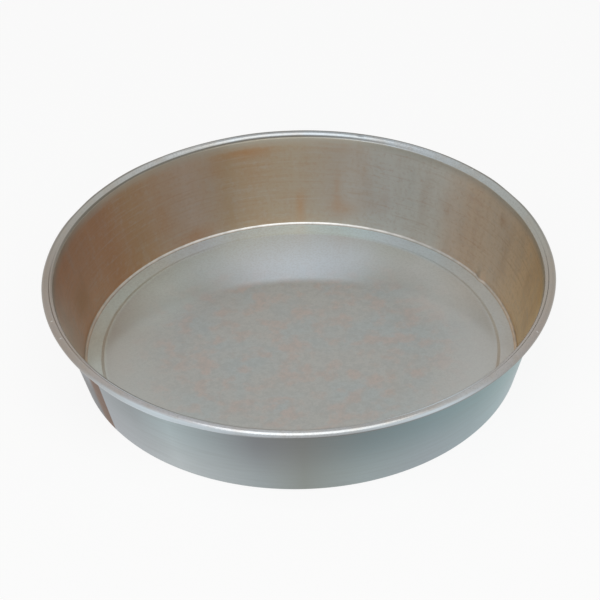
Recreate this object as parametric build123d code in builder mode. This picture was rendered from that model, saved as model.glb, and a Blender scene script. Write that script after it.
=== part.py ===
from build123d import *
import math
import os

# Round cake tin with leaning sides: a body pressed from one round of sheet steel,
# its edge rolled outwards over a ring of wire. Millimetres, +Z up, standing on Z = 0
# with the origin at the middle of the underside.

# Driving dimensions of the body
mouth_diameter = 252.4  # inside, where the wall runs into the rolled rim
height = 51.0  # from the table to the top of the rim
sheet_thickness = 0.7
wall_lean = 15.5  # degrees that the wall leans outwards
corner_radius = 1.5  # inside, between floor and wall

# The floor's middle is pressed up a little, so that the tin stands on the ring round it
foot_width = 8.6  # flat ring of floor between the wall's corner and the raised panel
panel_rise = 0.35
panel_slope_width = 1.5  # across the slope at the panel's edge
panel_edge_radius = 1.6  # of the food side, where the slope begins and ends

# Rolled rim, outside the wall: the sheet runs over a shoulder onto a narrow flat, then wraps the wire
shoulder_radius = 2.6  # of the food side
rim_flat_width = 1.1

# Wire in the rim: a straight length bent to a hoop, with its two ends butted
wire_diameter = 2.6
wire_clearance = 0.05  # all round, between the wire and the sheet rolled over it
wire_joint_gap = 0.8  # between the two ends
wire_joint_azimuth = 73.7  # degrees round from +X

# The sheet's cut edge stops just short of the wall that it is rolled back towards
cut_edge_gap = 0.25

# Middles of the shoulder's arc and of the wrap's, and where the wall's food side meets the shoulder
wire_radius = wire_diameter / 2
wrap_radius = wire_radius + wire_clearance + sheet_thickness
lean = math.radians(wall_lean)
wall_top_r = mouth_diameter / 2
shoulder_r = wall_top_r + shoulder_radius * math.cos(lean)
shoulder_z = height - shoulder_radius
wall_top_z = shoulder_z + shoulder_radius * math.sin(lean)
wrap_r = shoulder_r + rim_flat_width
wrap_z = height - wrap_radius

# Under the wire the sheet runs back to within the gap of the wall's outside
rim_underside_z = wrap_z - wrap_radius
wall_beside_cut_r = wall_top_r - (wall_top_z - rim_underside_z - sheet_thickness) * math.tan(lean)
cut_edge_r = wall_beside_cut_r + sheet_thickness / math.cos(lean) + cut_edge_gap

# Floor, from the wall's corner inwards
corner_r = wall_top_r - (wall_top_z - sheet_thickness) * math.tan(lean)
panel_foot_r = corner_r - foot_width
panel_top_r = panel_foot_r - panel_slope_width
panel_z = sheet_thickness + panel_rise

# Pressed body: floor, wall and roll are one sheet, drawn by its food side and its thickness
with BuildPart() as tin_body:
    with BuildSketch(Plane.XZ) as sheet_section:
        with BuildLine() as floor_and_wall:
            FilletPolyline(
                (0, panel_z),
                (panel_top_r, panel_z),
                (panel_foot_r, sheet_thickness),
                (corner_r, sheet_thickness),
                (wall_top_r, wall_top_z),
                radius=[panel_edge_radius, panel_edge_radius, corner_radius],
            )
            offset(amount=sheet_thickness, side=Side.RIGHT)
        make_face()
        with BuildLine() as rolled_edge:
            CenterArc((shoulder_r, shoulder_z), shoulder_radius, 180 - wall_lean, wall_lean - 90)
            Line((shoulder_r, height), (wrap_r, height))
            CenterArc((wrap_r, wrap_z), wrap_radius, 90, -180)
            Line((wrap_r, rim_underside_z), (cut_edge_r, rim_underside_z))
            offset(amount=sheet_thickness, side=Side.RIGHT)
        make_face()
    revolve(axis=Axis.Z)

# Rim wire: the hoop lies in the wrap, on the rim's outer side, and is open at its butt joint
joint_angle = math.degrees(wire_joint_gap / wrap_r)
wire_start = math.radians(wire_joint_azimuth + joint_angle / 2)
outwards = (math.cos(wire_start), math.sin(wire_start), 0)
along = (-math.sin(wire_start), math.cos(wire_start), 0)
wire_end_face = Plane(origin=(0, 0, wrap_z), x_dir=outwards, z_dir=along)

with BuildPart() as rim_wire:
    with BuildSketch(wire_end_face) as wire_section:
        with Locations((wrap_r, 0)):
            Circle(wire_radius)
    revolve(axis=Axis.Z, revolution_arc=360 - joint_angle)

tin_body.part.label = "tin_body"
rim_wire.part.label = "rim_wire"

os.makedirs("parts", exist_ok=True)
for piece in (tin_body.part, rim_wire.part):
    export_step(piece, f"parts/{piece.label}.step")
    print(piece.label, piece.bounding_box(), "volume", round(piece.volume, 1))
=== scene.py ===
"""Looks of a round cake tin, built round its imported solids. Metres, +Z up, in the solids' own frame."""
import logging
import math
from abc import ABC, abstractmethod
from dataclasses import dataclass, field
from enum import Enum
from typing import Any, Union

import bpy
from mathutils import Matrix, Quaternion, Vector


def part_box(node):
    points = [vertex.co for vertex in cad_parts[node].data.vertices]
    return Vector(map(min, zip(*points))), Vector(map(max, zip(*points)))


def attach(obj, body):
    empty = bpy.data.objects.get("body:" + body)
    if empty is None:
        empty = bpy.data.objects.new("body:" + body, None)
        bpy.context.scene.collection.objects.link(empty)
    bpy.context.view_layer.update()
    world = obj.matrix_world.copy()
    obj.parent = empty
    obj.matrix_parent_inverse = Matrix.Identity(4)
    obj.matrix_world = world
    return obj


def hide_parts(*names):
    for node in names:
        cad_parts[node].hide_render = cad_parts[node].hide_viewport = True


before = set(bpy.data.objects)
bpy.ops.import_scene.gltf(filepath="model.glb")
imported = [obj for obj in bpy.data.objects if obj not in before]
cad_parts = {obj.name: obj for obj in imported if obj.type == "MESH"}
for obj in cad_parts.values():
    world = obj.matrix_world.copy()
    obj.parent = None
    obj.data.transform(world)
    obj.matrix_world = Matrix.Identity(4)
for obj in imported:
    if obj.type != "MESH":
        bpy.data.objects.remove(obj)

LOG = logging.getLogger("cake_tin")
MM = 0.001
# Tin under its oxide, which shows as dull specks and clouds in every finish
DULL_TIN = "#878986"
# The radius at which a pattern wrapped round the wall has its real length
PATTERN_RADIUS = 120 * MM
# A spot with its middle lower than this lies on the floor, and a higher one on the wall or the rim
FLOOR_SPOTS_BELOW = 1.5 * MM

# A Mix node has a socket of each name for every kind of data, so its colour sockets are named by number
MIX_FACTOR, MIX_A, MIX_B, MIX_RESULT = 0, 6, 7, 2

Tree = bpy.types.NodeTree
# What an input is linked from: an output, or a node, which gives its first output
Source = Union[bpy.types.Node, bpy.types.NodeSocket]
# Places from 0 to 1, with the hex colour or the level at each. Those round the tin were set by comparing
# the render with the photograph, stretch by stretch
Ramp = tuple[tuple[float, Any], ...]


class Zone(Enum):
    """Stretches of the sheet that wear and brown each in their own way, with their mesh attributes."""

    FLOOR = "on_floor"
    CORNER = "on_corner"
    WALL = "on_wall"
    RIM = "on_rim"
    OUTSIDE = "on_outside"
    UNDERSIDE = "on_underside"


def linear(hex_colour: str) -> tuple[float, float, float, float]:
    """Turns an sRGB hex colour into the linear colour that a shader takes.

    Args:
        hex_colour: six hex digits after a #.

    Returns:
        Red, green, blue and an alpha of 1.
    """
    parts = [int(hex_colour[i : i + 2], 16) / 255 for i in (1, 3, 5)]
    red, green, blue = (c / 12.92 if c <= 0.04045 else ((c + 0.055) / 1.055) ** 2.4 for c in parts)
    return red, green, blue, 1.0


def add_node(tree: Tree, kind: str, inputs: dict[Any, Any] | None = None, **settings: Any) -> Any:
    """Adds a node, sets its properties, and sets or links its inputs.

    Args:
        tree: the node tree that the node goes into.
        kind: the node's type name.
        inputs: input name or number, and its value, its hex colour or the Source that it is linked from.
        settings: the node's own properties. A ramp's stops are given as a Ramp.

    Returns:
        The new node.
    """
    node = tree.nodes.new(kind)
    for name, value in settings.items():
        if name == "stops":
            elements = node.color_ramp.elements
            for spare in range(len(elements), len(value)):
                elements.new(spare / len(value))
            for element, (place, level) in zip(elements, value):
                element.position = place
                element.color = linear(level) if isinstance(level, str) else (level, level, level, 1.0)
        else:
            setattr(node, name, value)
    for key, value in (inputs or {}).items():
        if isinstance(value, bpy.types.Node):
            value = value.outputs[0]
        if isinstance(value, bpy.types.NodeSocket):
            tree.links.new(value, node.inputs[key])
        else:
            is_colour = isinstance(value, str) and value.startswith("#")
            node.inputs[key].default_value = linear(value) if is_colour else value
    return node


def overlaid(
    tree: Tree, colour: Any, top: Any, value: Source, start: float, end: float, most: float = 1.0
) -> Source:
    """Lays one colour over another, the more the further a value has risen.

    Args:
        tree: the material's tree.
        colour: what lies below, a Source or a hex colour.
        top: what is laid over it, a Source or a hex colour.
        value: noise, a place or another value.
        start: value at which the top colour begins.
        end: value at which there is most of it.
        most: how much of it there is then.

    Returns:
        The mixture.
    """
    amount = add_node(
        tree, "ShaderNodeMapRange", {"Value": value, "From Min": start, "From Max": end, "To Max": most},
        interpolation_type="SMOOTHSTEP",
    )
    mix = add_node(tree, "ShaderNodeMix", {MIX_FACTOR: amount, MIX_A: colour, MIX_B: top}, data_type="RGBA")
    return mix.outputs[MIX_RESULT]


def seen_directly(tree: Tree) -> Source:
    """Tells the rays that show the background from those that light the object.

    Args:
        tree: the floor's or the world's tree.

    Returns:
        1 for a ray from the camera or from a shiny or clear surface, and 0 for the others.
    """
    ray = add_node(tree, "ShaderNodeLightPath").outputs
    direct = add_node(
        tree, "ShaderNodeMath", {0: ray["Is Camera Ray"], 1: ray["Is Glossy Ray"]}, operation="MAXIMUM"
    )
    return add_node(tree, "ShaderNodeMath", {0: direct, 1: ray["Is Transmission Ray"]}, operation="MAXIMUM")


@dataclass(frozen=True)
class Clouds:
    """Uneven patches of a colour: their size, and from which to which level of noise they build up."""

    top: str
    size: float
    seed: float
    start: float
    end: float
    most: float
    detail: float = 3.0

    def over(self, tree: Tree, vector: Source, colour: Any) -> Source:
        """Lays the patches over a colour.

        Args:
            tree: the material's tree.
            vector: coordinates of the surface.
            colour: what lies below, a Source or a hex colour.

        Returns:
            The mixture.
        """
        noise = add_node(
            tree, "ShaderNodeTexNoise",
            {"Vector": vector, "W": self.seed, "Scale": 1 / self.size, "Detail": self.detail},
            noise_dimensions="4D",
        )
        return overlaid(tree, colour, self.top, noise, self.start, self.end, self.most)


@dataclass(frozen=True)
class SheetPoint:
    """A point on the food side of the sheet, the way through the sheet there, and its zone on each side."""

    place: Vector
    through: Vector
    front: Zone
    back: Zone


@dataclass
class SheetPen:
    """Draws the food side of the sheet's section as it is bent, in runs and arcs that follow each other."""

    place: Vector
    heading: float = 0.0
    points: list[SheetPoint] = field(default_factory=list)

    def mark(self, front: Zone, back: Zone) -> None:
        """Notes the point that the pen is at."""
        through = Vector((math.sin(self.heading), -math.cos(self.heading)))
        self.points.append(SheetPoint(self.place.copy(), through, front, back))

    def run(self, length: float, steps: int, front: Zone, back: Zone) -> None:
        """Goes straight on.

        Args:
            length: how far.
            steps: how many edges the run has.
            front: the food side's zone.
            back: the other side's zone.
        """
        for _ in range(steps):
            self.mark(front, back)
            self.place += length / steps * Vector((math.cos(self.heading), math.sin(self.heading)))

    def bend(self, radius: float, angle: float, steps: int, front: Zone, back: Zone) -> None:
        """Goes round an arc.

        Args:
            radius: of the food side.
            angle: turn in radians, positive to the left.
            steps: how many edges the arc has.
            front: the food side's zone.
            back: the other side's zone.
        """
        chord = 2 * radius * math.sin(abs(angle) / steps / 2)
        for _ in range(steps):
            self.mark(front, back)
            self.heading += angle / steps / 2
            self.place += chord * Vector((math.cos(self.heading), math.sin(self.heading)))
            self.heading += angle / steps / 2


@dataclass(frozen=True)
class Knock:
    """A place where use has bent the sheet. It fades out smoothly over its reach."""

    azimuth: float
    radius: float
    level: float
    reach: float
    outwards: float
    upwards: float = 0.0

    def spread(self, tree: Tree, place: Source, offset: Source) -> Source:
        """Adds the knock's own move to an offset.

        Args:
            tree: the tree that shapes the sheet.
            place: each point's place.
            offset: the move so far.

        Returns:
            The move with the knock in it.
        """
        angle = math.radians(self.azimuth)
        middle = (self.radius * math.cos(angle), self.radius * math.sin(angle), self.level)
        move = (self.outwards * math.cos(angle), self.outwards * math.sin(angle), self.upwards)
        away = add_node(tree, "ShaderNodeVectorMath", {0: place, 1: middle}, operation="DISTANCE")
        nearness = add_node(
            tree, "ShaderNodeMapRange",
            {"Value": away.outputs["Value"], "From Min": self.reach, "From Max": 0.0},
            interpolation_type="SMOOTHERSTEP",
        )
        return add_node(
            tree, "ShaderNodeVectorMath", {0: nearness, 1: move, 2: offset}, operation="MULTIPLY_ADD"
        )


@dataclass
class PressedBody:
    """The tin's body: floor, leaning wall and rolled rim, all of one sheet.

    Its height, its radius and the wire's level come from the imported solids. The rim is a round bead on the
    wire with a narrow shelf inside it.
    """

    height: float
    rim_radius: float
    wire_height: float
    sheet: float = 0.7 * MM
    lean: float = math.radians(15.5)
    corner_radius: float = 1.5 * MM
    foot_width: float = 8.6 * MM
    panel_rise: float = 0.35 * MM
    panel_slope_width: float = 1.5 * MM
    panel_edge_radius: float = 1.6 * MM
    shoulder_radius: float = 2.6 * MM
    rim_flat_width: float = 1.1 * MM
    shelf_radius: float = 1.3 * MM
    shelf_rise: float = math.radians(15)
    crease_radius: float = 0.5 * MM
    bead_start: float = math.radians(60)
    cut_edge_gap: float = 0.25 * MM
    border: float = 0.3 * MM
    segments: int = 640
    seed: float = 4.0
    # The wall and the rim wander in and down by up to the wave, the floor's middle up and down by the warp
    rim_wave: float = 0.4 * MM
    wave_length: float = 45 * MM
    floor_warp: float = 0.5 * MM
    warp_length: float = 60 * MM
    warp_seed_step: float = 7.0
    # Where the roll is less tight its lower side hangs down, by levels below the rim's top in wrap radii
    loose_azimuth: float = 232.0
    loose_reach: float = 34 * MM
    loose_drop: float = 0.8 * MM
    loose_from: float = 0.6
    loose_to: float = 1.8

    @property
    def wrap_radius(self) -> float:
        """Outer radius of the sheet that is wrapped round the wire."""
        return self.height - self.wire_height

    @property
    def ring_radius(self) -> float:
        """Radius of the wire's middle line."""
        return self.rim_radius - self.wrap_radius

    @property
    def wall_top(self) -> Vector:
        """Where the wall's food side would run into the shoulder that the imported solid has."""
        shoulder = self.ring_radius - self.rim_flat_width
        top = self.height - self.shoulder_radius * (1 - math.sin(self.lean))
        return Vector((shoulder - self.shoulder_radius * math.cos(self.lean), top))

    @property
    def corner(self) -> Vector:
        """Where the floor's and the wall's food sides would meet if the corner were sharp."""
        wall_top = self.wall_top
        return Vector((wall_top.x - (wall_top.y - self.sheet) * math.tan(self.lean), self.sheet))

    @property
    def panel_radius(self) -> float:
        """Radius of the raised panel's flat top."""
        return self.corner.x - self.foot_width - self.panel_slope_width

    @property
    def sizes(self) -> dict[str, float]:
        """The named inputs of the tree that turns the section, with their values."""
        return {
            "Segments": self.segments,
            "Ring radius": self.ring_radius,
            "Height": self.height,
            "Panel radius": self.panel_radius,
            "Rim wave": self.rim_wave,
            "Wave length": self.wave_length,
            "Floor warp": self.floor_warp,
            "Warp length": self.warp_length,
            "Loose drop": self.loose_drop,
            "Loose reach": self.loose_reach,
            "Seed": self.seed,
        }

    @property
    def knocks(self) -> tuple[Knock, ...]:
        """Nicks and bulges of the rim, seen in the outline, and one dent in the corner of the floor."""
        rim, top = self.rim_radius, self.height
        return (
            Knock(73.9, rim - 2.5 * MM, top, 2.6 * MM, 0.0, -0.35 * MM),
            Knock(42.6, rim - 2.5 * MM, top, 2.4 * MM, 0.0, -0.18 * MM),
            Knock(180.0, rim, top, 22 * MM, 0.12 * MM),
            Knock(133.0, rim, top, 26 * MM, 0.25 * MM, 0.10 * MM),
            Knock(200.5, rim - 2.0 * MM, top, 6 * MM, 0.0, -0.25 * MM),
            Knock(152.0, rim, top, 14 * MM, -0.20 * MM),
            Knock(30.0, rim, top, 16 * MM, -0.25 * MM),
            Knock(29.8, self.corner.x, 2.0 * MM, 5 * MM, -0.7 * MM),
        )

    def shelf_runs(self) -> tuple[float, float]:
        """Works out the two straight runs that bring the sheet from the wall's top onto the round bead.

        Returns:
            The wall's extra length, and the width of the shelf between the wall and the bead.
        """
        ways = (math.pi / 2 - self.lean, self.shelf_rise, self.bead_start)
        wall_way, shelf_way, bead_way = (Vector((math.cos(angle), math.sin(angle))) for angle in ways)
        bead = Vector((self.ring_radius, self.wire_height))
        bead_foot = bead + self.wrap_radius * Vector((-bead_way.y, bead_way.x))
        bend = self.shelf_radius * Vector((wall_way.y - shelf_way.y, shelf_way.x - wall_way.x))
        crease = self.crease_radius * Vector((bead_way.y - shelf_way.y, shelf_way.x - bead_way.x))
        left = bead_foot - self.wall_top - bend - crease
        spread = wall_way.cross(shelf_way)
        return left.cross(shelf_way) / spread, wall_way.cross(left) / spread

    def section(self) -> list[SheetPoint]:
        """Draws the sheet from the floor's middle over the rim to the cut edge.

        Returns:
            The points of its food side.
        """
        slope = math.atan2(self.panel_rise, self.panel_slope_width)
        edge_tangent = self.panel_edge_radius * math.tan(slope / 2)
        corner_turn = math.pi / 2 - self.lean
        corner_tangent = self.corner_radius * math.tan(corner_turn / 2)
        slope_length = math.hypot(self.panel_rise, self.panel_slope_width)
        foot_length = self.foot_width - edge_tangent - corner_tangent - self.border
        extra, shelf = self.shelf_runs()
        wall_length = (self.wall_top - self.corner).length - corner_tangent + extra
        half_shelf_turn = (self.shelf_rise - corner_turn) / 2
        cut_edge_level = self.height - 2 * self.wrap_radius + self.sheet
        wall_beside_cut = self.wall_top.x - (self.wall_top.y - cut_edge_level) * math.tan(self.lean)
        cut_edge = wall_beside_cut + self.sheet / math.cos(self.lean) + self.cut_edge_gap
        on_floor = (Zone.FLOOR, Zone.UNDERSIDE)
        on_wall = (Zone.WALL, Zone.OUTSIDE)
        on_rim = (Zone.RIM, Zone.RIM)
        pen = SheetPen(Vector((0, self.sheet + self.panel_rise)))
        pen.run(self.panel_radius - edge_tangent, 10, *on_floor)
        pen.bend(self.panel_edge_radius, -slope, 3, *on_floor)
        pen.run(slope_length - 2 * edge_tangent, 1, *on_floor)
        pen.bend(self.panel_edge_radius, slope, 3, *on_floor)
        pen.run(foot_length, 2, *on_floor)
        # The face between two zones takes the later one's finish, so it is kept narrow
        pen.run(self.border, 1, *on_floor)
        pen.bend(self.corner_radius, corner_turn, 6, Zone.CORNER, Zone.OUTSIDE)
        pen.run(wall_length, 9, *on_wall)
        pen.bend(self.shelf_radius, half_shelf_turn, 3, *on_wall)
        pen.bend(self.shelf_radius, half_shelf_turn, 3, Zone.RIM, Zone.OUTSIDE)
        pen.run(shelf, 1, *on_rim)
        pen.bend(self.crease_radius, self.bead_start - self.shelf_rise, 4, *on_rim)
        pen.bend(self.wrap_radius, -math.pi - self.bead_start, 26, *on_rim)
        pen.run(self.ring_radius - cut_edge, 2, *on_rim)
        pen.mark(*on_rim)
        return pen.points

    def outline(self) -> bpy.types.Mesh:
        """Closes the section over its other side.

        Returns:
            A chain of edges from the axis and back to it: x outwards, y down.
        """
        walk = self.section()
        front = [(p.place, p.front) for p in walk]
        back = [(p.place + p.through * self.sheet, p.back) for p in reversed(walk)]
        chain = front + back
        mesh = bpy.data.meshes.new("sheet_section")
        edges = [(i, i + 1) for i in range(len(chain) - 1)]
        mesh.from_pydata([(place.x, -place.y, 0) for place, _ in chain], edges, [])
        for zone in Zone:
            mark = mesh.attributes.new(zone.value, "FLOAT", "POINT")
            mark.data.foreach_set("value", [float(z is zone) for _, z in chain])
        return mesh

    def turning_tree(self) -> Tree:
        """Makes the Geometry Nodes that turn the section round the axis and make the sheet slightly uneven.

        Returns:
            The tree, with named inputs for the sizes and for each zone's material.
        """
        tree = bpy.data.node_groups.new("turned_sheet", "GeometryNodeTree")
        # The modifier hands its mesh over at the first input
        tree.interface.new_socket("Section", in_out="INPUT", socket_type="NodeSocketGeometry")
        for name, value in self.sizes.items():
            kind = "NodeSocketInt" if isinstance(value, int) else "NodeSocketFloat"
            tree.interface.new_socket(name, in_out="INPUT", socket_type=kind)
        for zone in Zone:
            tree.interface.new_socket(zone.value, in_out="INPUT", socket_type="NodeSocketMaterial")
        tree.interface.new_socket("Sheet", in_out="OUTPUT", socket_type="NodeSocketGeometry")
        given = add_node(tree, "NodeGroupInput").outputs

        curve = add_node(tree, "GeometryNodeMeshToCurve", {"Mesh": given["Section"]})
        inwards = add_node(
            tree, "ShaderNodeVectorMath", {0: given["Ring radius"], 1: (-1.0, 0.0, 0.0)},
            operation="MULTIPLY",
        )
        profile = add_node(tree, "GeometryNodeSetPosition", {"Geometry": curve, "Offset": inwards})
        ring = add_node(
            tree, "GeometryNodeCurvePrimitiveCircle",
            {"Resolution": given["Segments"], "Radius": given["Ring radius"]},
        )
        level = add_node(tree, "GeometryNodeSetCurveNormal", {"Curve": ring}, mode="Z_UP")
        turned = add_node(tree, "GeometryNodeCurveToMesh", {"Curve": level, "Profile Curve": profile})
        closed = add_node(tree, "GeometryNodeMergeByDistance", {"Geometry": turned, "Distance": 0.001 * MM})
        uneven = add_node(
            tree, "GeometryNodeSetPosition", {"Geometry": closed, "Offset": self.unevenness(tree, given)}
        )
        smooth = add_node(tree, "GeometryNodeSetShadeSmooth", {"Geometry": uneven})
        sheet = add_node(tree, "GeometryNodeRealizeInstances", {"Geometry": smooth})
        for zone in Zone:
            mark = add_node(tree, "GeometryNodeInputNamedAttribute", {"Name": zone.value}, data_type="FLOAT")
            # Between two zones the mark is a half, so such a face takes the finish of the later one
            there = add_node(tree, "ShaderNodeMath", {0: mark, 1: 0.4}, operation="GREATER_THAN")
            sheet = add_node(
                tree, "GeometryNodeSetMaterial",
                {"Geometry": sheet, "Selection": there, "Material": given[zone.value]},
            )
        add_node(tree, "NodeGroupOutput", {"Sheet": sheet})
        return tree

    def drift(self, tree: Tree, place: Source, length: Source, seed: Source, step: float) -> Source:
        """Makes smooth noise that is different for each step of the seed.

        Args:
            tree: the turning tree.
            place: each point's place.
            length: length of the noise's waves.
            seed: the sheet's seed.
            step: what is added to the seed.

        Returns:
            Noise from 0 to 1.
        """
        own_seed = add_node(tree, "ShaderNodeMath", {0: seed, 1: step}, operation="ADD")
        scale = add_node(tree, "ShaderNodeMath", {0: 1.0, 1: length}, operation="DIVIDE")
        return add_node(
            tree, "ShaderNodeTexNoise", {"Vector": place, "W": own_seed, "Scale": scale, "Detail": 1.0},
            noise_dimensions="4D",
        )

    def unevenness(self, tree: Tree, given: Any) -> Source:
        """Works out how far each point of the sheet is from where a perfect pressing would have it.

        Args:
            tree: the turning tree.
            given: the tree's inputs.

        Returns:
            The move.
        """
        place = add_node(tree, "GeometryNodeInputPosition")
        flat = add_node(tree, "ShaderNodeVectorMath", {0: place, 1: (1.0, 1.0, 0.0)}, operation="MULTIPLY")
        radial = add_node(tree, "ShaderNodeVectorMath", {0: flat}, operation="NORMALIZE")
        radius = add_node(tree, "ShaderNodeVectorMath", {0: flat}, operation="LENGTH").outputs["Value"]
        up = add_node(tree, "ShaderNodeSeparateXYZ", {0: place}).outputs["Z"]
        share = add_node(tree, "ShaderNodeMath", {0: up, 1: given["Height"]}, operation="DIVIDE")
        low = add_node(tree, "ShaderNodeMath", {0: share, 1: 0.0}, operation="MAXIMUM")

        # The higher a point, the more it wanders, since the corner holds the foot round. Only the rim droops
        drift = self.drift(tree, place, given["Wave length"], given["Seed"], 0.0)
        wander = add_node(tree, "ShaderNodeMapRange", {"Value": drift, "To Min": -1.0, "To Max": 0.0})
        wave = add_node(tree, "ShaderNodeMath", {0: wander, 1: given["Rim wave"]}, operation="MULTIPLY")
        inwards = add_node(tree, "ShaderNodeMath", {0: wave, 1: low}, operation="MULTIPLY")
        steep = add_node(tree, "ShaderNodeMath", {0: low, 1: 6.0}, operation="POWER")
        droop = add_node(tree, "ShaderNodeMath", {0: wave, 1: steep}, operation="MULTIPLY")

        # The floor is thin and wide, so its middle is never quite flat. Its panel's edge holds it
        panel_share = add_node(
            tree, "ShaderNodeMath", {0: radius, 1: given["Panel radius"]}, operation="DIVIDE"
        )
        on_panel = add_node(
            tree, "ShaderNodeMapRange", {"Value": panel_share, "From Min": 0.98, "From Max": 0.7},
            interpolation_type="SMOOTHSTEP",
        )
        sag = self.drift(tree, place, given["Warp length"], given["Seed"], self.warp_seed_step)
        centred = add_node(tree, "ShaderNodeMath", {0: sag, 1: 0.5}, operation="SUBTRACT")
        warp = add_node(tree, "ShaderNodeMath", {0: centred, 1: given["Floor warp"]}, operation="MULTIPLY")
        rise = add_node(tree, "ShaderNodeMath", {0: warp, 1: on_panel, 2: droop}, operation="MULTIPLY_ADD")

        loose = self.loose_roll(tree, given, place, up)
        lifted = add_node(tree, "ShaderNodeMath", {0: rise, 1: loose}, operation="SUBTRACT")
        upwards = add_node(tree, "ShaderNodeCombineXYZ", {"Z": lifted})
        offset = add_node(
            tree, "ShaderNodeVectorMath", {0: radial, 1: inwards, 2: upwards}, operation="MULTIPLY_ADD"
        )
        for knock in self.knocks:
            offset = knock.spread(tree, place, offset)
        return offset

    def loose_roll(self, tree: Tree, given: Any, place: Source, up: Source) -> Source:
        """Works out how far the lower side of the rim hangs down where it was rolled less tightly.

        Args:
            tree: the turning tree.
            given: the tree's inputs.
            place: each point's place.
            up: each point's height.

        Returns:
            The drop.
        """
        angle = math.radians(self.loose_azimuth)
        middle = (self.rim_radius * math.cos(angle), self.rim_radius * math.sin(angle), self.height)
        away = add_node(tree, "ShaderNodeVectorMath", {0: place, 1: middle}, operation="DISTANCE")
        near = add_node(
            tree, "ShaderNodeMapRange",
            {
                "Value": away.outputs["Value"],
                "From Min": given["Loose reach"],
                "From Max": self.loose_reach / 3,
                "To Max": given["Loose drop"],
            },
            interpolation_type="SMOOTHSTEP",
        )
        begin, full = (self.height - share * self.wrap_radius for share in (self.loose_from, self.loose_to))
        below = add_node(
            tree, "ShaderNodeMapRange", {"Value": up, "From Min": begin, "From Max": full},
            interpolation_type="SMOOTHSTEP",
        )
        on_rim = add_node(
            tree, "GeometryNodeInputNamedAttribute", {"Name": Zone.RIM.value}, data_type="FLOAT"
        )
        both = add_node(tree, "ShaderNodeMath", {0: near, 1: below}, operation="MULTIPLY")
        return add_node(tree, "ShaderNodeMath", {0: both, 1: on_rim}, operation="MULTIPLY")

    def build(self, finishes: dict[Zone, bpy.types.Material]) -> bpy.types.Object:
        """Makes the body's mesh.

        Args:
            finishes: the material of each zone.

        Returns:
            The body as a plain mesh object at the origin.
        """
        source = bpy.data.objects.new("tin_body_dressed", self.outline())
        bpy.context.scene.collection.objects.link(source)
        turning = source.modifiers.new("turned_sheet", "NODES")
        turning.node_group = self.turning_tree()
        values = self.sizes | {zone.value: material for zone, material in finishes.items()}
        for item in turning.node_group.interface.items_tree:
            if item.in_out == "INPUT" and item.name in values:
                turning[item.identifier] = values[item.name]
        evaluated = source.evaluated_get(bpy.context.evaluated_depsgraph_get())
        sheet = bpy.data.meshes.new_from_object(evaluated)
        source.modifiers.clear()
        source.data = sheet
        return source


@dataclass(frozen=True)
class Spot:
    """A soft-edged spot on the sheet: its middle, half its width along the rim and half its size across."""

    azimuth: float
    radius: float
    level: float
    along: float
    across: float
    strength: float
    depth: float = 8 * MM

    def spread(self, tree: Tree, place: Source, total: Any) -> Source:
        """Adds the spot to the spots so far.

        Args:
            tree: the material's tree.
            place: each point's place.
            total: what the other spots give.

        Returns:
            All of them together.
        """
        angle = math.radians(self.azimuth)
        size = (self.depth, self.along, self.across)
        if self.level < FLOOR_SPOTS_BELOW:
            size = (self.across, self.along, self.depth)
        local = add_node(
            tree, "ShaderNodeMapping",
            {
                "Vector": place,
                "Location": (self.radius * math.cos(angle), self.radius * math.sin(angle), self.level),
                "Rotation": (0.0, 0.0, angle),
                "Scale": size,
            },
            vector_type="TEXTURE",
        )
        ball = add_node(tree, "ShaderNodeTexGradient", {0: local}, gradient_type="SPHERICAL").outputs["Fac"]
        return add_node(
            tree, "ShaderNodeMath", {0: ball, 1: self.strength, 2: total}, operation="MULTIPLY_ADD"
        )


def spotted(tree: Tree, place: Source, spots: tuple[Spot, ...]) -> Any:
    """Adds up spots.

    Args:
        tree: the material's tree.
        place: each point's place.
        spots: what is added up.

    Returns:
        All of them together.
    """
    total: Any = 0.0
    for spot in spots:
        total = spot.spread(tree, place, total)
    return total


def clouded(tree: Tree, vector: Source, colour: Any, layers: tuple[Clouds, ...]) -> Any:
    """Lays several kinds of patches over a colour, one after the other.

    Args:
        tree: the material's tree.
        vector: coordinates of the surface.
        colour: what lies below, a Source or a hex colour.
        layers: the patches, the lowest first.

    Returns:
        The mixture.
    """
    for layer in layers:
        colour = layer.over(tree, vector, colour)
    return colour


def emptied(owner: Any) -> Tree:
    """Gives a material or a world an empty tree.

    Args:
        owner: the material or the world.

    Returns:
        Its tree.
    """
    owner.use_nodes = True
    owner.node_tree.nodes.clear()
    return owner.node_tree


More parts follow.
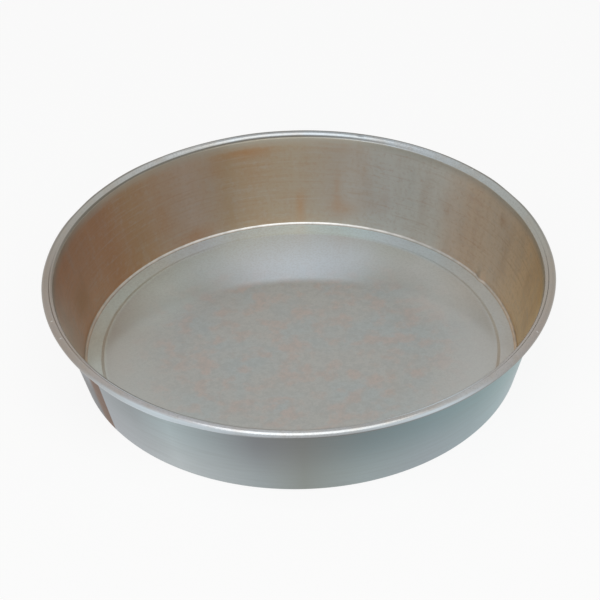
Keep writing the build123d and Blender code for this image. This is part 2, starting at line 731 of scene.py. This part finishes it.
@dataclass(frozen=True)
class SheetMap:
    """Where a point of the tin is. Turn 0 is the front, 0.25 the left, 0.5 the back and 0.75 the right."""

    place: Source
    turn: Source
    radius: Source
    up: Source
    outwards: Source

    @classmethod
    def of(cls, tree: Tree) -> "SheetMap":
        """Works out where each point is.

        Args:
            tree: the material's tree.

        Returns:
            The map.
        """
        place = add_node(tree, "ShaderNodeTexCoord").outputs["Object"]
        x, y, z = add_node(tree, "ShaderNodeSeparateXYZ", {0: place}).outputs
        angle = add_node(tree, "ShaderNodeMath", {0: x, 1: y}, operation="ARCTAN2")
        turn = add_node(
            tree, "ShaderNodeMath", {0: angle, 1: 1 / math.tau, 2: 0.5}, operation="MULTIPLY_ADD"
        )
        flat = add_node(tree, "ShaderNodeVectorMath", {0: place, 1: (1.0, 1.0, 0.0)}, operation="MULTIPLY")
        radius = add_node(tree, "ShaderNodeVectorMath", {0: flat}, operation="LENGTH").outputs["Value"]
        outwards = add_node(tree, "ShaderNodeVectorMath", {0: flat}, operation="NORMALIZE")
        return cls(place, turn, radius, z, outwards)

    def wrapped(self, tree: Tree, along: float, up: float) -> Source:
        """Makes coordinates for a pattern on the wall.

        Args:
            tree: the material's tree.
            along: length of the pattern's marks round the tin, at the pattern radius.
            up: their height.

        Returns:
            The coordinates, in marks.
        """
        height = add_node(tree, "ShaderNodeMath", {0: self.up, 1: 1 / up}, operation="MULTIPLY")
        upright = add_node(tree, "ShaderNodeCombineXYZ", {"Z": height})
        marks = PATTERN_RADIUS / along
        return add_node(
            tree, "ShaderNodeVectorMath", {0: self.outwards, 1: (marks, marks, 0.0), 2: upright},
            operation="MULTIPLY_ADD",
        )


@dataclass(frozen=True)
class TinnedSheet(ABC):
    """Tinned sheet steel after years of baking: what every stretch of the body has in common.

    The tin under its thin oxide gives a soft grey metal shine.
    """

    name: str
    roughness: float = 0.3
    brushing: float = 0.0
    oil_film: float = 0.0
    oil_roughness: float = 0.12
    line_length: float = 60 * MM
    line_height: float = 1.1 * MM
    line_depth: float = 0.02 * MM
    line_strength: float = 0.3
    # The grain of rolled sheet is too fine to show, so it is drawn as coarse as this
    grain_size: float = 1.5 * MM

    @abstractmethod
    def colour(self, tree: Tree, where: SheetMap) -> Source:
        """Lays the finish's colours over each other.

        Args:
            tree: the material's tree.
            where: places on the sheet.

        Returns:
            The colour.
        """

    def material(self) -> bpy.types.Material:
        """Makes the finish.

        Returns:
            Its material.
        """
        material = bpy.data.materials.new(self.name)
        tree = emptied(material)
        where = SheetMap.of(tree)
        inputs = {
            "Metallic": 1.0,
            "Roughness": self.roughness,
            "Coat Weight": self.oil_film,
            "Coat Roughness": self.oil_roughness,
            "Base Color": self.colour(tree, where),
            "Normal": self.surface_lines(tree, where),
        }
        if self.brushing:
            # The marks of spinning run round the tin, so a reflection is drawn out across them, up and down
            inputs["Tangent"] = add_node(tree, "ShaderNodeTangent", direction_type="RADIAL", axis="Z")
            inputs["Anisotropic"] = self.brushing
            inputs["Anisotropic Rotation"] = 0.25
        shader = add_node(tree, "ShaderNodeBsdfPrincipled", inputs)
        add_node(tree, "ShaderNodeOutputMaterial", {"Surface": shader})
        return material

    def surface_lines(self, tree: Tree, where: SheetMap) -> Source:
        """Makes the shallow marks that run round the tin, and the grain of rolled sheet.

        Args:
            tree: the material's tree.
            where: places on the sheet.

        Returns:
            The surface's direction.
        """
        along = where.wrapped(tree, self.line_length, self.line_height)
        lines = add_node(tree, "ShaderNodeTexNoise", {"Vector": along, "Scale": 1.0, "Detail": 3.0})
        grain = add_node(tree, "ShaderNodeTexNoise", {"Vector": where.place, "Scale": 1 / self.grain_size})
        height = add_node(tree, "ShaderNodeMath", {0: lines, 1: grain}, operation="ADD")
        return add_node(
            tree, "ShaderNodeBump",
            {"Strength": self.line_strength, "Distance": self.line_depth, "Height": height},
        )


@dataclass(frozen=True)
class GreasedFloor(TinnedSheet):
    """The floor: rolled, unspun tinplate that cakes and washing keep nearly bare, under a film of old oil.

    The tin is dull and grey here and the film over it mirrors faintly, with cool and warm clouds and a few
    amber stains. Towards the wall at the back a painted reflection of the lit wall makes it nearly white.
    """

    name: str = "greased_floor"
    roughness: float = 0.46
    oil_film: float = 1.0
    middle: str = "#9B9B96"
    clouds: tuple[Clouds, ...] = (
        Clouds("#919C9D", 26 * MM, 1.0, 0.40, 0.64, 0.55),
        Clouds("#A69389", 9 * MM, 2.0, 0.46, 0.66, 0.55),
        Clouds(DULL_TIN, 3.2 * MM, 10.0, 0.42, 0.62, 0.27),
    )
    # Real oxide specks are too fine to show, so they are drawn 1.1 mm wide
    specks: Clouds = Clouds(DULL_TIN, 1.1 * MM, 3.0, 0.35, 0.75, 0.15, 2.0)
    # The floor's colour towards the wall, with a painted reflection that makes it light blue at the back
    outer: Ramp = (
        (0.00, "#A4AAA8"), (0.20, "#A3A49F"), (0.28, "#A8A8A0"), (0.35, "#CED9D6"), (0.42, "#CEDFE1"),
        (0.46, "#D7F0F9"), (0.50, "#DAF1FF"), (0.54, "#C4CBCB"), (0.58, "#C5C7C0"), (0.62, "#D0D1D0"),
        (0.67, "#C7C8C6"), (0.72, "#ADAFAD"), (0.85, "#A6A7A4"), (1.00, "#A4AAA8"),
    )
    outer_from: float = 60 * MM
    outer_to: float = 103 * MM
    # The painted reflection's colour: the lit back wall seen in the floor
    clean: str = "#D4E3F3"
    # Soft strokes of painted reflection, towards the back wall
    reflection_strokes: tuple[Spot, ...] = (
        Spot(94.0, 84 * MM, 1 * MM, 68 * MM, 60 * MM, 1.0),
        Spot(68.0, 88 * MM, 1 * MM, 44 * MM, 34 * MM, 0.15),
    )
    arc_middle: tuple[float, float, float] = (0.0, -60 * MM, 1 * MM)
    arc_radius: float = 114 * MM
    arc_softness: float = 9 * MM
    # A faint real ring beside the corner, with a painted reflection that makes it light blue at the back
    foot_ring_and_reflection: Ramp = (
        (0.00, "#A4A49F"), (0.20, "#ACB4B0"), (0.27, "#B6BCB2"), (0.33, "#D1E6E5"), (0.38, "#DDEAEC"),
        (0.42, "#D7ECFD"), (0.50, "#E2F5FF"), (0.54, "#D4ECF6"), (0.58, "#D3DDE6"), (0.67, "#CAD0D3"),
        (0.73, "#BAC1C4"), (0.78, "#AAA8A4"), (1.00, "#A4A49F"),
    )
    ring_from: float = 100.5 * MM
    ring_to: float = 103.8 * MM
    amber: str = "#997550"
    stains: tuple[Spot, ...] = (
        Spot(151.0, 90 * MM, 1 * MM, 22 * MM, 12 * MM, 0.16),
        Spot(160.0, 97 * MM, 1 * MM, 14 * MM, 8 * MM, 0.16),
        Spot(42.0, 84 * MM, 1 * MM, 20 * MM, 12 * MM, 0.14),
        Spot(24.0, 92 * MM, 1 * MM, 18 * MM, 10 * MM, 0.14),
        Spot(330.0, 60 * MM, 1 * MM, 30 * MM, 24 * MM, 0.12),
    )
    rag_size: float = 9 * MM
    rag_push: float = 16 * MM

    def colour(self, tree: Tree, where: SheetMap) -> Source:
        """Lays clouds, a painted reflection, the ring beside the corner and stains on nearly bare tin.

        Args:
            tree: the material's tree.
            where: places on the sheet.

        Returns:
            The colour.
        """
        colour = clouded(tree, where.place, self.middle, (*self.clouds, self.specks))
        outer = add_node(tree, "ShaderNodeValToRGB", {"Fac": where.turn}, stops=self.outer)
        colour = overlaid(tree, colour, outer, where.radius, self.outer_from, self.outer_to)
        # Painted reflection of the lit back wall, nearly white towards the back
        colour = overlaid(tree, colour, self.clean, self.reflection_band(tree, where), 0.0, 1.0, 0.9)
        ring = add_node(tree, "ShaderNodeValToRGB", {"Fac": where.turn}, stops=self.foot_ring_and_reflection)
        colour = overlaid(tree, colour, ring, where.radius, self.ring_from, self.ring_to)
        stained = spotted(tree, self.ragged(tree, where), self.stains)
        colour = overlaid(tree, colour, self.amber, stained, 0.0, 1.0)
        return self.specks.over(tree, where.place, colour)

    def reflection_band(self, tree: Tree, where: SheetMap) -> Source:
        """Works out the painted reflection of the back wall: soft strokes towards it, ending in an arc in
        front.

        Args:
            tree: the material's tree.
            where: places on the sheet.

        Returns:
            0 where it isn't, and 1 where it is most.
        """
        away = add_node(
            tree, "ShaderNodeVectorMath", {0: where.place, 1: self.arc_middle}, operation="DISTANCE"
        ).outputs["Value"]
        full = self.arc_radius + self.arc_softness
        begun = add_node(
            tree, "ShaderNodeMapRange", {"Value": away, "From Min": self.arc_radius, "From Max": full},
            interpolation_type="SMOOTHSTEP",
        )
        strokes = spotted(tree, where.place, self.reflection_strokes)
        return add_node(tree, "ShaderNodeMath", {0: strokes, 1: begun}, operation="MULTIPLY")

    def ragged(self, tree: Tree, where: SheetMap) -> Source:
        """Pushes places about by a few millimetres, so that a spot has a ragged edge.

        Args:
            tree: the material's tree.
            where: places on the sheet.

        Returns:
            The pushed places.
        """
        push = add_node(
            tree, "ShaderNodeTexNoise", {"Vector": where.place, "Scale": 1 / self.rag_size, "Detail": 4.0}
        ).outputs["Color"]
        centred = add_node(tree, "ShaderNodeVectorMath", {0: push, 1: (0.5, 0.5, 0.5)}, operation="SUBTRACT")
        return add_node(
            tree, "ShaderNodeVectorMath",
            {0: centred, 1: (self.rag_push, self.rag_push, 0.0), 2: where.place},
            operation="MULTIPLY_ADD",
        )


@dataclass(frozen=True)
class RubbedCorner(TinnedSheet):
    """The tight corner of the floor, rubbed bright by spatulas and cloths: a thin clean line."""

    name: str = "rubbed_corner"
    roughness: float = 0.44
    brushing: float = 0.5
    ring: Ramp = (
        (0.00, "#8B8980"), (0.26, "#AC9C89"), (0.36, "#BCB8AF"), (0.50, "#CDCDCB"), (0.62, "#B6B4AF"),
        (0.74, "#BCAA96"), (1.00, "#8B8980"),
    )
    specks: Clouds = Clouds(DULL_TIN, 4 * MM, 4.0, 0.3, 0.8, 0.5)

    def colour(self, tree: Tree, where: SheetMap) -> Source:
        """Leaves it clean at the back and a little brown at the sides.

        Args:
            tree: the material's tree.
            where: places on the sheet.

        Returns:
            The colour.
        """
        ring = add_node(tree, "ShaderNodeValToRGB", {"Fac": where.turn}, stops=self.ring)
        return self.specks.over(tree, where.place, ring)


@dataclass(frozen=True)
class BrownedWall(TinnedSheet):
    """The wall's inside: spun tinplate with a baked-on film of oil, straw to red-brown, deepest on the left.

    The film tints the metal's shine. Fine marks of spinning run round it and draw reflections out up and
    down, and drips and wiping leave soft upright bands. Just under the rim the film is thin and grey.
    """

    name: str = "browned_wall"
    roughness: float = 0.38
    brushing: float = 0.85
    line_depth: float = 0.012 * MM
    # Baked-on film round the tin, with painted shade: darkened at the back, where the lamp is reflected
    film: Ramp = (
        (0.00, "#977D62"), (0.10, "#A38E78"), (0.20, "#BAB0A4"), (0.27, "#B68B6D"), (0.34, "#967156"),
        (0.37, "#937A60"), (0.42, "#9D8E80"), (0.45, "#907D65"), (0.50, "#928673"), (0.53, "#90887C"),
        (0.57, "#AAAAA4"), (0.61, "#B4B7B0"), (0.64, "#B6A996"), (0.68, "#BFB09B"), (0.71, "#D3B893"),
        (0.77, "#CFAE78"), (0.90, "#A28D6F"), (1.00, "#977D62"),
    )
    burnt: str = "#8B694E"
    wiped: str = "#989A95"
    band_width: float = 9 * MM
    band_height: float = 50 * MM
    bands: tuple[Clouds, ...] = (
        Clouds(burnt, 1.0, 5.0, 0.50, 0.78, 0.22),
        Clouds(wiped, 1.0, 5.0, 0.50, 0.24, 0.20),
    )
    patches: Clouds = Clouds(burnt, 14 * MM, 6.0, 0.50, 0.75, 0.16)
    # Real marks of spinning are a fraction of a millimetre high, and are drawn coarser so that they show
    mark_length: float = 26 * MM
    mark_height: float = 1.2 * MM
    marks: tuple[Clouds, ...] = (
        Clouds(burnt, 1.0, 7.0, 0.50, 0.80, 0.26, 2.0),
        Clouds(wiped, 1.0, 7.0, 0.50, 0.22, 0.22, 2.0),
    )
    specks: tuple[Clouds, ...] = (
        Clouds(burnt, 1.8 * MM, 11.0, 0.46, 0.72, 0.17),
        Clouds(wiped, 2.6 * MM, 13.0, 0.48, 0.74, 0.15),
    )
    rust: str = "#956A40"
    stains: tuple[Spot, ...] = (
        Spot(103.0, 125 * MM, 43 * MM, 26 * MM, 5 * MM, 0.60),
        Spot(112.0, 124 * MM, 36 * MM, 12 * MM, 9 * MM, 0.35),
        Spot(89.0, 115 * MM, 10 * MM, 5 * MM, 18 * MM, 0.60),
        Spot(119.0, 114 * MM, 4 * MM, 18 * MM, 8 * MM, 0.60),
        Spot(79.0, 118 * MM, 22 * MM, 4 * MM, 22 * MM, 0.35),
        Spot(128.0, 118 * MM, 20 * MM, 7 * MM, 20 * MM, 0.30),
        Spot(72.0, 122 * MM, 34 * MM, 4 * MM, 14 * MM, 0.25),
        Spot(47.0, 120 * MM, 26 * MM, 6 * MM, 16 * MM, 0.25),
        Spot(27.0, 123 * MM, 38 * MM, 7 * MM, 6 * MM, 0.45),
        Spot(8.0, 121 * MM, 28 * MM, 5 * MM, 16 * MM, 0.35),
        Spot(168.0, 117 * MM, 17 * MM, 18 * MM, 15 * MM, 0.7),
        Spot(77.0, 116 * MM, 10 * MM, 16 * MM, 9 * MM, 0.45),
        Spot(56.0, 122 * MM, 35 * MM, 2 * MM, 2 * MM, 0.3),
        Spot(44.5, 122 * MM, 34 * MM, 2 * MM, 2 * MM, 0.3),
    )
    collar: str = "#949389"
    collar_from: float = 43.2 * MM
    collar_to: float = 49.2 * MM

    def colour(self, tree: Tree, where: SheetMap) -> Source:
        """Lays bands, marks of spinning, mottle and stains on the film, and thins it under the rim.

        Args:
            tree: the material's tree.
            where: places on the sheet.

        Returns:
            The colour.
        """
        film = add_node(tree, "ShaderNodeValToRGB", {"Fac": where.turn}, stops=self.film)
        upright = where.wrapped(tree, self.band_width, self.band_height)
        colour = clouded(tree, upright, film, self.bands)
        colour = self.patches.over(tree, where.place, colour)
        level = where.wrapped(tree, self.mark_length, self.mark_height)
        colour = clouded(tree, level, colour, self.marks)
        colour = clouded(tree, where.place, colour, self.specks)
        stained = spotted(tree, where.place, self.stains)
        colour = overlaid(tree, colour, self.rust, stained, 0.0, 0.7, 0.48)
        return overlaid(tree, colour, self.collar, where.up, self.collar_from, self.collar_to, 0.7)


@dataclass(frozen=True)
class SideLayer:
    """Grease, painted shade or a painted highlight on one side of the rim: how much at each turn, and from
    where to where.
    """

    top: str
    by_turn: Ramp
    begin: float
    full: float
    by_height: bool = False
    most: float = 0.85

    def over(self, tree: Tree, where: SheetMap, colour: Source) -> Source:
        """Lays it over a colour.

        Args:
            tree: the material's tree.
            where: places on the sheet.
            colour: what lies below.

        Returns:
            The mixture.
        """
        amount = add_node(tree, "ShaderNodeValToRGB", {"Fac": where.turn}, stops=self.by_turn)
        value = where.up if self.by_height else where.radius
        there = add_node(
            tree, "ShaderNodeMapRange", {"Value": value, "From Min": self.begin, "From Max": self.full}
        )
        both = add_node(tree, "ShaderNodeMath", {0: amount, 1: there}, operation="MULTIPLY")
        return overlaid(tree, colour, self.top, both, 0.0, 1.0, self.most)


@dataclass(frozen=True)
class HandledRim(TinnedSheet):
    """The rolled rim, which hands and cloths keep clean: bare tin, smooth from rolling, with fine specks.

    Grease and painted shade darken its inner edge. Painted shade darkens its outer side at the back and the
    bead's lower side, except on the left at the front. A painted highlight lightens the front left and
    right.
    """

    name: str = "handled_rim"
    roughness: float = 0.28
    line_strength: float = 0.15
    # Bare tin round the tin; its levels also hold painted light, raised at the front and lowered at the back
    ring: Ramp = (
        (0.00, "#ADB0B2"), (0.04, "#ADB0B4"), (0.09, "#A8A8AB"), (0.17, "#9B9188"), (0.21, "#999089"),
        (0.25, "#91877E"), (0.33, "#A09E98"), (0.42, "#B3B6B6"), (0.46, "#9EA3A6"), (0.50, "#999FA4"),
        (0.54, "#9AA1A5"), (0.58, "#ADB4B9"), (0.63, "#A6ABAB"), (0.71, "#9C9C95"), (0.75, "#9A9389"),
        (0.82, "#9D948D"), (0.90, "#AAACAD"), (0.96, "#9D9E9E"), (1.00, "#ADB0B2"),
    )
    # The finer specks stand for oxide too fine to show
    specks: tuple[Clouds, ...] = (
        Clouds("#9D9284", 9 * MM, 8.0, 0.42, 0.68, 0.35),
        Clouds(DULL_TIN, 0.9 * MM, 9.0, 0.40, 0.75, 0.40, 2.0),
    )
    # A painted highlight, light blue, on the rim's lower outer side at the front left and front right
    rubbed: SideLayer = SideLayer(
        "#CBD7DE",
        (
            (0.00, 0.015), (0.03, 0.43), (0.09, 1.0), (0.13, 0.53), (0.17, 0.0), (0.86, 0.0), (0.92, 1.0),
            (0.96, 0.53), (1.00, 0.015),
        ),
        50.6 * MM, 49.6 * MM, by_height=True,
    )
    # Grease on the inner edge, with painted shade over the shelf and crease, strongest at the front and back
    inner_grease_and_shade: SideLayer = SideLayer(
        "#5C564A",
        (
            (0.00, 0.50), (0.03, 1.0), (0.13, 1.0), (0.17, 0.26), (0.21, 0.20), (0.25, 0.50), (0.34, 0.95),
            (0.50, 1.0), (0.54, 0.53), (0.58, 0.16), (0.70, 0.10), (0.78, 0.0), (0.84, 0.0), (0.88, 0.38),
            (0.92, 0.48), (1.00, 0.50),
        ),
        127.45 * MM, 126.85 * MM,
    )
    # Painted shade on the rim's outer side, mostly at the back
    painted_outer_shade: SideLayer = SideLayer(
        "#5C564A",
        ((0.00, 0.0), (0.25, 0.12), (0.33, 0.84), (0.66, 0.84), (0.75, 0.22), (1.00, 0.0)),
        129.0 * MM, 130.0 * MM,
    )
    # Painted shade on the bead's lower side over the seam, none on the left at the front
    painted_seam_shade: SideLayer = SideLayer(
        "#45433E",
        (
            (0.00, 0.87), (0.035, 0.63), (0.055, 0.0), (0.19, 0.0), (0.25, 0.63), (0.75, 0.48), (0.82, 0.94),
            (1.00, 0.87),
        ),
        49.0 * MM, 48.0 * MM, by_height=True,
    )
    scratch: str = "#D8DADA"
    scratches: tuple[Spot, ...] = (
        Spot(196.5, 130.0 * MM, 51.0 * MM, 0.5 * MM, 1.2 * MM, 1.0, 1.4 * MM),
        Spot(203.2, 130.0 * MM, 51.0 * MM, 0.5 * MM, 1.2 * MM, 1.0, 1.4 * MM),
        Spot(334.4, 130.8 * MM, 50.6 * MM, 0.5 * MM, 1.6 * MM, 1.0, 1.2 * MM),
        Spot(42.8, 129.4 * MM, 50.8 * MM, 0.4 * MM, 1.2 * MM, 1.0, 1.4 * MM),
    )

    def colour(self, tree: Tree, where: SheetMap) -> Source:
        """Lays specks, a painted highlight, grease, painted shade and a few scratches on tin that is warm at
        the sides.

        Args:
            tree: the material's tree.
            where: places on the sheet.

        Returns:
            The colour.
        """
        ring = add_node(tree, "ShaderNodeValToRGB", {"Fac": where.turn}, stops=self.ring)
        colour = clouded(tree, where.place, ring, self.specks)
        for layer in (self.rubbed, self.inner_grease_and_shade, self.painted_outer_shade, self.painted_seam_shade):
            colour = layer.over(tree, where, colour)
        scratched = spotted(tree, where.place, self.scratches)
        return overlaid(tree, colour, self.scratch, scratched, 0.2, 0.7, 0.6)


@dataclass(frozen=True)
class GreyOutside(TinnedSheet):
    """The wall's outside: spun tinplate with a cool grey bloom of oxide.

    Painted shade makes it darker at the front and under the rim. Painted reflection makes it lighter towards
    the foot and at the front sides, and lays a brown patch with a straight edge on the left, grey beyond it.
    """

    name: str = "grey_outside"
    roughness: float = 0.36
    brushing: float = 0.85
    # Bloom with painted light: darker at the front and under the rim, lighter at the front sides and the
    # foot
    high: Ramp = (
        (0.00, "#7B7D7B"), (0.03, "#7F8285"), (0.09, "#ADBBBE"), (0.12, "#989FA2"), (0.16, "#9CA2A6"),
        (0.50, "#8D9392"), (0.84, "#8CA5A6"), (0.91, "#83979B"), (0.96, "#788689"), (1.00, "#7B7D7B"),
    )
    low: Ramp = (
        (0.00, "#8F9490"), (0.03, "#9EA6A8"), (0.09, "#BDC4C6"), (0.16, "#A3A7AC"), (0.50, "#909394"),
        (0.84, "#9AAEB2"), (0.91, "#9FA9AE"), (0.96, "#9BA6A7"), (1.00, "#8F9490"),
    )
    low_level: float = 2 * MM
    high_level: float = 42 * MM
    # A painted reflection: a brown patch with a straight upright edge, with dark and lighter grey beyond it
    painted_brown_reflection: str = "#694527"
    painted_dark_reflection: str = "#69696A"
    painted_grey_reflection: str = "#919499"
    dark_reflection_level: float = 20 * MM
    grey_reflection_level: float = 34 * MM
    # The painted reflection's edge, its lean in turns a metre of height, and the stretches beyond it, all in
    # turns
    reflection_edge: float = 0.1564
    reflection_lean: float = 0.097
    edge_softness: float = 0.0006
    dark_reflection_begin: float = 0.010
    dark_reflection_full: float = 0.018
    fade_begin: float = 0.05
    fade_end: float = 0.09
    mark_length: float = 30 * MM
    mark_height: float = 1.5 * MM
    marks: Clouds = Clouds(DULL_TIN, 1.0, 12.0, 0.35, 0.75, 0.16, 2.0)

    def colour(self, tree: Tree, where: SheetMap) -> Source:
        """Lays the painted brown reflection, painted grey beyond it and fine marks on the bloom, painted
        lighter below.

        Args:
            tree: the material's tree.
            where: places on the sheet.

        Returns:
            The colour.
        """
        low = add_node(tree, "ShaderNodeValToRGB", {"Fac": where.turn}, stops=self.low)
        high = add_node(tree, "ShaderNodeValToRGB", {"Fac": where.turn}, stops=self.high)
        bloom = overlaid(tree, low, high, where.up, self.low_level, self.high_level)
        leaning = add_node(
            tree, "ShaderNodeMath", {0: where.up, 1: self.reflection_lean, 2: where.turn},
            operation="MULTIPLY_ADD",
        )
        edge, soft = self.reflection_edge, self.edge_softness
        # Painted reflection: brown up to its edge, grey beyond it, fading back into the bloom
        painted_dark_reflection = overlaid(tree, self.painted_dark_reflection, self.painted_grey_reflection, where.up, self.dark_reflection_level, self.grey_reflection_level)
        dark = overlaid(tree, self.painted_brown_reflection, painted_dark_reflection, leaning, edge + self.dark_reflection_begin, edge + self.dark_reflection_full)
        burnt = overlaid(tree, bloom, dark, leaning, edge - soft, edge + soft)
        colour = overlaid(tree, burnt, bloom, leaning, edge + self.fade_begin, edge + self.fade_end)
        fine = where.wrapped(tree, self.mark_length, self.mark_height)
        return self.marks.over(tree, fine, colour)


@dataclass(frozen=True)
class ScuffedUnderside(TinnedSheet):
    """The underside, browned by the oven and scuffed by its shelves. The photograph doesn't show it."""

    name: str = "scuffed_underside"
    roughness: float = 0.42
    browned: str = "#8C8174"
    clouds: Clouds = Clouds(DULL_TIN, 18 * MM, 14.0, 0.35, 0.65, 0.8, 4.0)
    worn: str = "#9D9B96"
    ring_inside: float = 104.5 * MM
    ring_outside: float = 111.5 * MM
    ring_softness: float = 1 * MM

    def colour(self, tree: Tree, where: SheetMap) -> Source:
        """Lays brown clouds inside, worn bright where the tin stands.

        Args:
            tree: the material's tree.
            where: places on the sheet.

        Returns:
            The colour.
        """
        colour = self.clouds.over(tree, where.place, self.browned)
        soft = self.ring_softness
        begin, full = self.ring_inside - soft, self.ring_inside + soft
        worn = overlaid(tree, colour, self.worn, where.radius, begin, full, 0.75)
        return overlaid(tree, worn, colour, where.radius, self.ring_outside, self.ring_outside + 2 * soft)


@dataclass(frozen=True)
class DrawnWire:
    """Plain drawn steel wire: fairly bright and a little rough, with faint lines along it from the die."""

    bright: str = "#929290"
    dark: str = "#7C7975"
    line_spacing: float = 0.2 * MM
    roughness: float = 0.35

    def material(self) -> bpy.types.Material:
        """Makes the finish.

        Returns:
            Its material.
        """
        material = bpy.data.materials.new("drawn_steel_wire")
        tree = emptied(material)
        where = SheetMap.of(tree)
        across = add_node(tree, "ShaderNodeCombineXYZ", {"X": where.radius, "Z": where.up})
        lines = add_node(
            tree, "ShaderNodeTexNoise", {"Vector": across, "Scale": 1 / self.line_spacing, "Detail": 1.0}
        )
        stops = ((0.35, self.dark), (0.65, self.bright))
        colour = add_node(tree, "ShaderNodeValToRGB", {"Fac": lines}, stops=stops)
        inputs = {"Metallic": 1.0, "Roughness": self.roughness, "Base Color": colour}
        shader = add_node(tree, "ShaderNodeBsdfPrincipled", inputs)
        add_node(tree, "ShaderNodeOutputMaterial", {"Surface": shader})
        return material


@dataclass
class Studio:
    """Pale floor, even white room, one soft box high in front and the camera."""

    focal_length: float = 174.4
    distance: float = 1.501
    elevation: float = 36.81
    roll: float = -1.63
    aim: tuple[float, float, float] = (0.0004, 0.0, 0.0321)
    floor_size: float = 6.0
    floor_colour: str = "#F0F0EE"
    floor_white: float = 0.9
    room_level: float = 0.3
    box_place: tuple[float, float, float] = (0.0, -0.75, 1.05)
    box_size: float = 1.4
    box_radiance: float = 1.7

    def build(self) -> None:
        """Makes the floor, the room's light, the lamp and the camera."""
        self.make_floor()
        self.make_room()
        self.make_box()
        self.make_camera()

    def make_floor(self) -> None:
        """Makes a plain pale floor at the height that the tin stands at."""
        half = self.floor_size / 2
        corners = [(-half, -half, 0), (half, -half, 0), (half, half, 0), (-half, half, 0)]
        mesh = bpy.data.meshes.new("floor")
        mesh.from_pydata(corners, [], [(0, 1, 2, 3)])
        floor = bpy.data.objects.new("floor", mesh)
        bpy.context.scene.collection.objects.link(floor)
        material = bpy.data.materials.new("pale_floor")
        tree = emptied(material)
        share = add_node(
            tree, "ShaderNodeMath", {0: seen_directly(tree), 1: self.floor_white}, operation="MULTIPLY"
        )
        paint = add_node(tree, "ShaderNodeBsdfDiffuse", {"Color": self.floor_colour})
        white = add_node(tree, "ShaderNodeEmission", {"Color": (1, 1, 1, 1), "Strength": 1.0})
        both = add_node(tree, "ShaderNodeMixShader", {0: share, 1: paint, 2: white})
        add_node(tree, "ShaderNodeOutputMaterial", {"Surface": both})
        mesh.materials.append(material)

    def make_room(self) -> None:
        """Makes an even room: white where the camera or a shiny surface sees it, and plain as light."""
        world = bpy.data.worlds.new("room")
        bpy.context.scene.world = world
        tree = emptied(world)
        level = add_node(
            tree, "ShaderNodeMapRange",
            {"Value": seen_directly(tree), "To Min": self.room_level, "To Max": 1.0},
        )
        light = add_node(tree, "ShaderNodeBackground", {"Color": (1, 1, 1, 1), "Strength": level})
        add_node(tree, "ShaderNodeOutputWorld", {"Surface": light})

    def make_box(self) -> None:
        """Makes a square soft box high in front of the tin that faces it."""
        lamp = bpy.data.lights.new("front_box", "AREA")
        lamp.shape = "SQUARE"
        lamp.size = self.box_size
        lamp.energy = self.box_radiance * math.pi * self.box_size**2
        box = bpy.data.objects.new("front_box", lamp)
        box.location = self.box_place
        box.rotation_mode = "QUATERNION"
        box.rotation_quaternion = Vector(self.box_place).to_track_quat("Z", "Y")
        bpy.context.scene.collection.objects.link(box)

    def make_camera(self) -> None:
        """Makes the camera, at the photograph's angle."""
        lens = bpy.data.cameras.new("camera")
        lens.lens = self.focal_length
        camera = bpy.data.objects.new("camera", lens)
        tilt = math.radians(self.elevation)
        back = Vector((0, -math.cos(tilt), math.sin(tilt)))
        rolled = Quaternion((0, 0, 1), math.radians(self.roll))
        camera.location = Vector(self.aim) + back * self.distance
        camera.rotation_mode = "QUATERNION"
        camera.rotation_quaternion = (-back).to_track_quat("-Z", "Y") @ rolled
        bpy.context.scene.collection.objects.link(camera)
        bpy.context.scene.camera = camera


def main() -> None:
    """Builds the tin, its stage and the camera."""
    logging.basicConfig(level=logging.INFO, format="%(name)s: %(message)s")
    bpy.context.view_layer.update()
    bpy.context.scene.view_settings.view_transform = "Standard"
    Studio().build()
    LOG.info("stage: floor, room, soft box and camera")
    _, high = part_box("tin_body")
    wire_low, wire_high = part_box("rim_wire")
    body = PressedBody(height=high.z, rim_radius=high.x, wire_height=(wire_low.z + wire_high.z) / 2)
    finishes = {
        Zone.FLOOR: GreasedFloor(),
        Zone.CORNER: RubbedCorner(),
        Zone.WALL: BrownedWall(),
        Zone.RIM: HandledRim(),
        Zone.OUTSIDE: GreyOutside(),
        Zone.UNDERSIDE: ScuffedUnderside(),
    }
    sheet = body.build({zone: finish.material() for zone, finish in finishes.items()})
    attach(sheet, "root")
    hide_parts("tin_body")
    triangles = sum(len(face.vertices) - 2 for face in sheet.data.polygons)
    LOG.info("tin_body_dressed: %d faces, %d triangles", len(sheet.data.polygons), triangles)
    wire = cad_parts["rim_wire"]
    wire.data.materials.clear()
    wire.data.materials.append(DrawnWire().material())
    LOG.info("rim_wire: the packed solid in its own finish")


if __name__ == "__main__":
    main()
